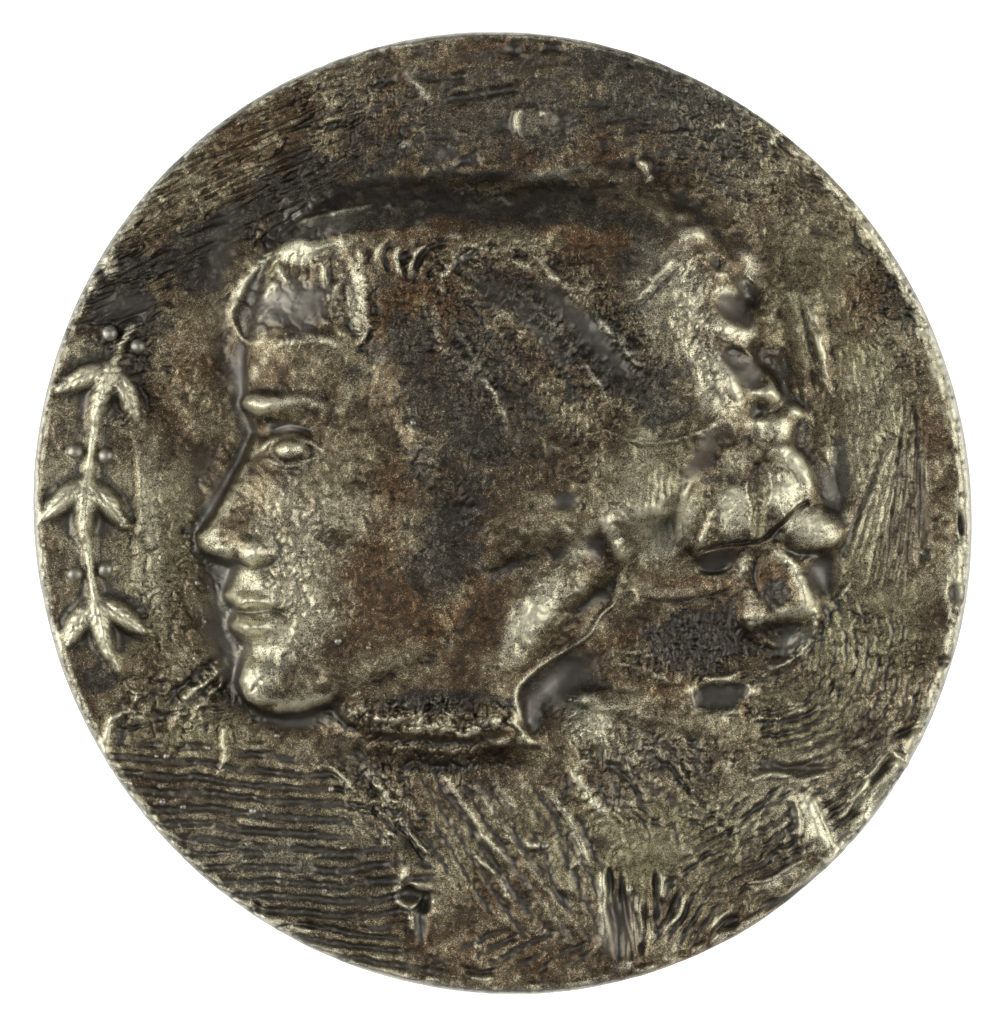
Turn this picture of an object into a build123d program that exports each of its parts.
from build123d import *
import math
import os
from collections import namedtuple

# A commemorative medal, cast in bronze in one piece. It lies on its plain back, with a head in relief on
# its face that looks to -X, and +Y is up in the picture. The origin is the middle of the back.
# All sizes are in millimetres and all angles in degrees.

# Blank
long_diameter = 61.8
short_diameter = 59.8
lean = 20.0
rim_thickness = 3.9
rim_width = 1.1
edge_radius = 0.6
dish_depth = 0.6

# Head, from the crown to the chin and from the nose to the middle of the medal
head_height = 33.4
nose_reach = 19.7
crown_reach = 20.6
head_relief = 3.5
face_roundness = 5.2
nape_roundness = 3.2
wall_relief = 0.8
wall_draft = 0.15
neck_relief = 2.7
hair_thickness = 0.55
hair_roundness = 1.4
hair_edge_share = 0.4
root_depth = 1.2

# Forms laid on the head and the ground
bun_relief = 3.0
lock_relief = 2.5
strand_relief = 0.3
feature_relief = 0.6
mark_relief = 0.55
groove_depth = 0.7

# Leaf sprig along the rim, with its stem at an inset from the dish's edge
sprig_inset = 2.2
sprig_start = 153.0
sprig_end = 202.0
sprig_tufts = 3
leaf_length = 4.2
leaf_width = 1.5
leaf_spread = 42.0
berry_diameter = 1.0
berry_offset = 2.0
tuft_offset = 0.35
berry_lag = 0.2
stem_width = 0.55
stem_relief = 0.35

ground = rim_thickness - dish_depth
dish_radius = min(long_diameter, short_diameter) / 2 - rim_width
sprig_radius = dish_radius - sprig_inset

# Squares of the picture that shares are taken in: one from the nose and the crown, and one round the dish
Square = namedtuple("Square", "left top side")
HEAD_SQUARE = Square(-nose_reach, crown_reach, head_height)
DISH_SQUARE = Square(-dish_radius, dish_radius, 2 * dish_radius)

# Rows from the crown down. "down", "front" and "back" are shares of the head's height, taken from the
# crown and from the nose's tip, and "crest" is a share of that form's relief, or of the hair's thickness.
Row = namedtuple("Row", "down front back crest")

HEAD_ROWS = [
    Row(0.000, 0.330, 0.850, 0.42),
    Row(0.030, 0.235, 0.930, 0.66),
    Row(0.080, 0.165, 0.975, 0.82),
    Row(0.150, 0.130, 1.010, 0.90),
    Row(0.250, 0.105, 1.040, 0.96),
    Row(0.330, 0.097, 1.060, 0.99),
    Row(0.395, 0.095, 1.060, 1.00),
    Row(0.430, 0.104, 1.050, 1.00),
    Row(0.460, 0.115, 1.040, 1.00),
    Row(0.510, 0.094, 1.010, 1.00),
    Row(0.570, 0.062, 0.960, 1.00),
    Row(0.620, 0.032, 0.900, 1.00),
    Row(0.660, 0.004, 0.800, 1.00),
    Row(0.690, 0.012, 0.680, 1.00),
    Row(0.716, 0.076, 0.610, 1.00),
    Row(0.745, 0.068, 0.585, 1.00),
    Row(0.775, 0.055, 0.570, 1.00),
    Row(0.801, 0.080, 0.555, 1.00),
    Row(0.832, 0.064, 0.540, 0.98),
    Row(0.872, 0.100, 0.505, 0.96),
    Row(0.905, 0.086, 0.455, 0.94),
    Row(0.940, 0.080, 0.380, 0.90),
    Row(0.975, 0.094, 0.285, 0.84),
    Row(1.000, 0.130, 0.205, 0.70),
]

NECK_ROWS = [
    Row(0.600, 0.450, 0.930, 0.80),
    Row(0.700, 0.440, 0.832, 0.94),
    Row(0.790, 0.400, 0.742, 1.00),
    Row(0.880, 0.330, 0.672, 1.00),
    Row(0.960, 0.240, 0.630, 1.00),
    Row(1.015, 0.290, 0.630, 1.00),
    Row(1.040, 0.335, 0.640, 0.98),
    Row(1.062, 0.345, 0.660, 0.94),
]

HAIR_ROWS = [
    Row(0.008, 0.350, 0.862, 0.70),
    Row(0.034, 0.262, 0.944, 0.85),
    Row(0.080, 0.250, 0.990, 1.00),
    Row(0.150, 0.300, 1.024, 1.00),
    Row(0.250, 0.330, 1.054, 1.00),
    Row(0.330, 0.342, 1.074, 1.00),
    Row(0.395, 0.360, 1.076, 1.00),
    Row(0.460, 0.392, 1.056, 1.00),
    Row(0.510, 0.425, 1.026, 1.00),
    Row(0.570, 0.470, 0.976, 1.00),
    Row(0.620, 0.530, 0.916, 1.00),
    Row(0.660, 0.600, 0.816, 0.90),
]

# Rounded forms. "across" and "down" place the middle as shares of a square's side from its left and its
# top, "length" and "width" are shares of that side and "rise" of the form's relief, "sunk" is the share of
# the rise that is under the level it stands on, and "turn" is the slant of its length from +X.
Lump = namedtuple("Lump", "across down length width rise sunk turn")

BUN_LOBES = [
    Lump(0.985, 0.600, 0.150, 0.240, 0.95, 0.0, 8),
    Lump(1.105, 0.595, 0.170, 0.225, 1.00, 0.0, -6),
    Lump(1.187, 0.650, 0.110, 0.100, 0.85, 0.0, 15),
    Lump(1.121, 0.788, 0.165, 0.175, 0.85, 0.0, 0),
    Lump(1.050, 0.478, 0.260, 0.090, 0.70, 0.0, 28),
]

NAPE_LOCKS = [
    Lump(1.000, 0.135, 0.115, 0.085, 0.92, 0.0, -20),
    Lump(1.045, 0.255, 0.120, 0.080, 0.95, 0.0, -38),
    Lump(1.072, 0.375, 0.130, 0.080, 0.95, 0.0, -48),
    Lump(1.105, 0.465, 0.110, 0.075, 0.80, 0.0, -40),
]

COMBED_LOCKS = [
    Lump(0.560, 0.100, 0.400, 0.045, 1.00, 0.45, -8),
    Lump(0.680, 0.175, 0.420, 0.045, 1.00, 0.45, -24),
    Lump(0.610, 0.255, 0.420, 0.045, 1.00, 0.45, -34),
    Lump(0.720, 0.335, 0.400, 0.045, 1.00, 0.45, -42),
    Lump(0.560, 0.385, 0.340, 0.045, 1.00, 0.45, -50),
    Lump(0.860, 0.330, 0.300, 0.045, 1.00, 0.45, -36),
    Lump(0.690, 0.500, 0.300, 0.045, 1.00, 0.45, -52),
]

# The face's own forms, each of them standing on the head's surface
FACE_FORMS = [
    Lump(0.170, 0.412, 0.155, 0.050, 1.00, 0.45, -6),
    Lump(0.190, 0.495, 0.070, 0.046, 1.00, 0.30, 0),
    Lump(0.118, 0.690, 0.062, 0.052, 1.10, 0.30, 20),
    Lump(0.124, 0.782, 0.090, 0.026, 0.80, 0.30, 8),
    Lump(0.126, 0.832, 0.084, 0.032, 0.85, 0.30, -4),
    Lump(0.140, 0.935, 0.110, 0.095, 0.80, 0.40, 10),
    Lump(0.290, 0.610, 0.190, 0.120, 0.80, 0.50, 24),
]

# Marks raised on the ground close to the head
HEAD_MARKS = [
    Lump(1.010, 0.955, 0.085, 0.052, 1.30, 0.10, 8),
    Lump(0.870, 1.000, 0.440, 0.040, 1.00, 0.20, -14),
    Lump(0.800, -0.018, 0.220, 0.028, 1.30, 0.20, 0),
]

# Marks raised near the rim
DISH_MARKS = [
    Lump(0.825, 0.310, 0.017, 0.122, 1.00, 0.20, 10),
    Lump(0.851, 0.308, 0.017, 0.110, 1.00, 0.20, 10),
    Lump(0.839, 0.835, 0.035, 0.075, 0.90, 0.20, 22),
    Lump(0.862, 0.879, 0.044, 0.035, 0.80, 0.20, -10),
]

# Hollows pressed into the ground close to the head
HEAD_HOLLOWS = [
    Lump(0.560, -0.022, 0.660, 0.044, 1.00, 0.60, 2),
    Lump(0.200, 0.052, 0.240, 0.036, 1.00, 0.60, 30),
    Lump(0.475, 1.088, 0.340, 0.048, 1.20, 0.60, -3),
    Lump(0.750, 0.975, 0.160, 0.130, 0.90, 0.60, 20),
    Lump(1.065, 0.205, 0.080, 0.050, 1.20, 0.60, -40),
    Lump(1.120, 0.330, 0.100, 0.060, 1.20, 0.60, -45),
]

# Hollows pressed in near the rim
DISH_HOLLOWS = [
    Lump(0.631, 0.948, 0.014, 0.099, 1.00, 0.50, 2),
    Lump(0.657, 0.951, 0.013, 0.104, 1.00, 0.50, -3),
    Lump(0.410, 0.931, 0.021, 0.035, 1.50, 0.50, 10),
]

# Shares of a section's width at which its curve is set out
STATIONS = [0.0, 0.03, 0.08, 0.16, 0.28, 0.5, 0.72, 0.84, 0.92, 0.97, 1.0]


def place(across, down, square=HEAD_SQUARE):
    """The point of the picture at shares of a square's side, from its left and its top."""
    return square.left + across * square.side, square.top - down * square.side


def ground_at(x, y):
    """The level of the dished ground at a point."""
    return ground + dish_depth * (x**2 + y**2) / dish_radius**2


def rounded(distance, roundness):
    """A quarter round from 0 at the edge to 1 at the roundness, and level past it."""
    reach = min(max(distance / roundness, 0.0), 1.0)
    return math.sqrt(1.0 - (1.0 - reach) ** 2)


def relief_height(x, left, right, crest, relief, front_roundness, back_roundness):
    """The height of a form at x, between its walls at the left and the right."""
    shape = rounded(x - left, front_roundness) * rounded(right - x, back_roundness)
    return ground + wall_relief * crest + (relief - wall_relief) * crest * shape


def section(row, heights, wall_left, wall_right):
    """A form's section at one row: a root in the blank, two walls and the curve of its top."""
    left = place(row.front, row.down)[0]
    right = place(row.back, row.down)[0]
    level = place(0.0, row.down)[1]
    root = ground - root_depth
    curve = [(left + share * (right - left), heights(left + share * (right - left))) for share in STATIONS]
    with BuildSketch(Plane.XZ.offset(-level)) as outline:
        with BuildLine():
            Line((left - wall_left, root), curve[0])
            Spline(*curve)
            Line(curve[-1], (right + wall_right, root))
            Line((right + wall_right, root), (left - wall_left, root))
        make_face()
    return outline.sketch


def form_sections(rows, relief, front_roundness, back_roundness):
    """The sections of a form that stands on the ground."""
    sections = []
    for row in rows:
        left = place(row.front, row.down)[0]
        right = place(row.back, row.down)[0]

        def heights(x, left=left, right=right, crest=row.crest):
            return relief_height(x, left, right, crest, relief, front_roundness, back_roundness)

        sections.append(section(row, heights, wall_draft, wall_draft))
    return sections


def head_row(down):
    """The head's row at a share of its height below the crown, between the two rows that are given."""
    for upper, lower in zip(HEAD_ROWS, HEAD_ROWS[1:]):
        if down <= lower.down:
            break
    share = min(max((down - upper.down) / (lower.down - upper.down), 0.0), 1.0)
    return Row(*(a + share * (b - a) for a, b in zip(upper, lower)))


def head_relief_at(form):
    """The height of the head's own surface over the ground, at the middle of a form on it."""
    row = head_row(form.down)
    left = place(row.front, form.down)[0]
    right = place(row.back, form.down)[0]
    x, y = place(form.across, form.down)
    height = relief_height(x, left, right, row.crest, head_relief, face_roundness, nape_roundness)
    return height - ground_at(x, y)


def hair_sections():
    """The sections of the hair, which lies on the head and is thickest behind its front edge."""
    sections = []
    for row in HAIR_ROWS:
        scalp = head_row(row.down)
        front = place(row.front, row.down)[0]
        left = place(scalp.front, row.down)[0]
        right = place(row.back, row.down)[0]

        def heights(x, front=front, left=left, right=right, crest=scalp.crest, share=row.crest):
            skin = relief_height(x, left, right, crest, head_relief, face_roundness, nape_roundness)
            thickening = hair_edge_share + (1.0 - hair_edge_share) * rounded(x - front, hair_roundness)
            return skin + hair_thickness * share * thickening

        sections.append(section(row, heights, 0.0, wall_draft))
    return sections


def lump(form, level, relief, square=HEAD_SQUARE):
    """An ellipsoid that stands at a level over the ground, with its middle sunk under it."""
    x, y = place(form.across, form.down, square)
    level += ground_at(x, y)
    half_rise = form.rise * relief / (1.0 - form.sunk)
    half_length = form.length * square.side / 2
    half_width = form.width * square.side / 2
    ball = scale(Sphere(1, mode=Mode.PRIVATE), by=(half_length, half_width, half_rise), mode=Mode.PRIVATE)
    return Pos(x, y, level - form.sunk * half_rise) * Rot(0, 0, form.turn) * ball


def hollow(form, square=HEAD_SQUARE):
    """An ellipsoid to be cut from the ground, with its middle over it."""
    x, y = place(form.across, form.down, square)
    half_rise = form.rise * groove_depth / (1.0 - form.sunk)
    half_length = form.length * square.side / 2
    half_width = form.width * square.side / 2
    ball = scale(Sphere(1, mode=Mode.PRIVATE), by=(half_length, half_width, half_rise), mode=Mode.PRIVATE)
    return Pos(x, y, ground_at(x, y) + form.sunk * half_rise) * Rot(0, 0, form.turn) * ball


# Head
with BuildPart() as head:
    add(form_sections(HEAD_ROWS, head_relief, face_roundness, nape_roundness))
    loft(ruled=True)

# Neck, cut off level under the jaw
with BuildPart() as neck:
    add(form_sections(NECK_ROWS, neck_relief, nape_roundness, nape_roundness))
    loft(ruled=True)

# Hair, combed back over the ear
with BuildPart() as hair:
    add(hair_sections())
    loft(ruled=True)

# Bun, locks, the face's forms and the marks on the ground
raised_forms = [lump(form, 0, bun_relief) for form in BUN_LOBES]
raised_forms += [lump(form, 0, lock_relief) for form in NAPE_LOCKS]
raised_forms += [lump(form, head_relief_at(form) + hair_thickness, strand_relief) for form in COMBED_LOCKS]
raised_forms += [lump(form, head_relief_at(form), feature_relief) for form in FACE_FORMS]
raised_forms += [lump(form, 0, mark_relief) for form in HEAD_MARKS]
raised_forms += [lump(form, 0, mark_relief, DISH_SQUARE) for form in DISH_MARKS]
hollows = [hollow(form) for form in HEAD_HOLLOWS]
hollows += [hollow(form, DISH_SQUARE) for form in DISH_HOLLOWS]

# One leaf of the sprig: a spindle along X with its foot at the origin, half of it in the ground
with BuildPart() as leaf:
    with BuildSketch():
        with BuildLine():
            ThreePointArc((0, 0), (leaf_length / 2, leaf_width / 2), (leaf_length, 0))
            Line((leaf_length, 0), (0, 0))
        make_face()
    revolve(axis=Axis.X)

# Sprig: a stem on an arc along the rim, with tufts of three leaves and a pair of berries below each
sprig_sweep = sprig_end - sprig_start
tuft_step = sprig_sweep / sprig_tufts
sprig_level = ground_at(sprig_radius, 0)
with BuildPart() as sprig:
    with BuildSketch(Plane.XY.offset(sprig_level - root_depth)):
        SlotArc(CenterArc((0, 0), sprig_radius, sprig_start, sprig_sweep, mode=Mode.PRIVATE), stem_width)
    extrude(amount=root_depth + stem_relief)
    for tuft in range(sprig_tufts):
        tuft_angle = sprig_start + (tuft + tuft_offset) * tuft_step
        foot = Vector(sprig_radius, 0).rotate(Axis.Z, tuft_angle)
        for side in (-1, 0, 1):
            heading = tuft_angle + 90 + side * leaf_spread
            with Locations(Location((foot.X, foot.Y, sprig_level), (0, 0, heading))):
                add(leaf.part)
        for side in (-1, 1):
            berry_radius = sprig_radius + side * berry_offset / 2
            berry = Vector(berry_radius, 0).rotate(Axis.Z, tuft_angle - berry_lag * tuft_step)
            with Locations((berry.X, berry.Y, sprig_level)):
                Sphere(berry_diameter / 2)

# Blank: an ellipse a little out of round, with rounded edges and a shallow dish inside its rim
dish_sphere = (dish_radius**2 + dish_depth**2) / (2 * dish_depth)
with BuildPart() as medal:
    with BuildSketch():
        Ellipse(long_diameter / 2, short_diameter / 2, rotation=90 + lean)
    extrude(amount=rim_thickness)
    fillet(medal.edges(), radius=edge_radius)
    with Locations((0, 0, ground + dish_sphere)):
        Sphere(dish_sphere, mode=Mode.SUBTRACT)
    add(hollows, mode=Mode.SUBTRACT)
    add(head.part)
    add(neck.part)
    add(hair.part)
    add(raised_forms)
    add(sprig.part)

medal.part.label = "medal"
os.makedirs("parts", exist_ok=True)
export_step(medal.part, "parts/medal.step")
print("volume", round(medal.part.volume, 1), "box", medal.part.bounding_box().size)
print("solids", len(medal.part.solids()), "faces", len(medal.part.faces()), "valid", medal.part.is_valid)
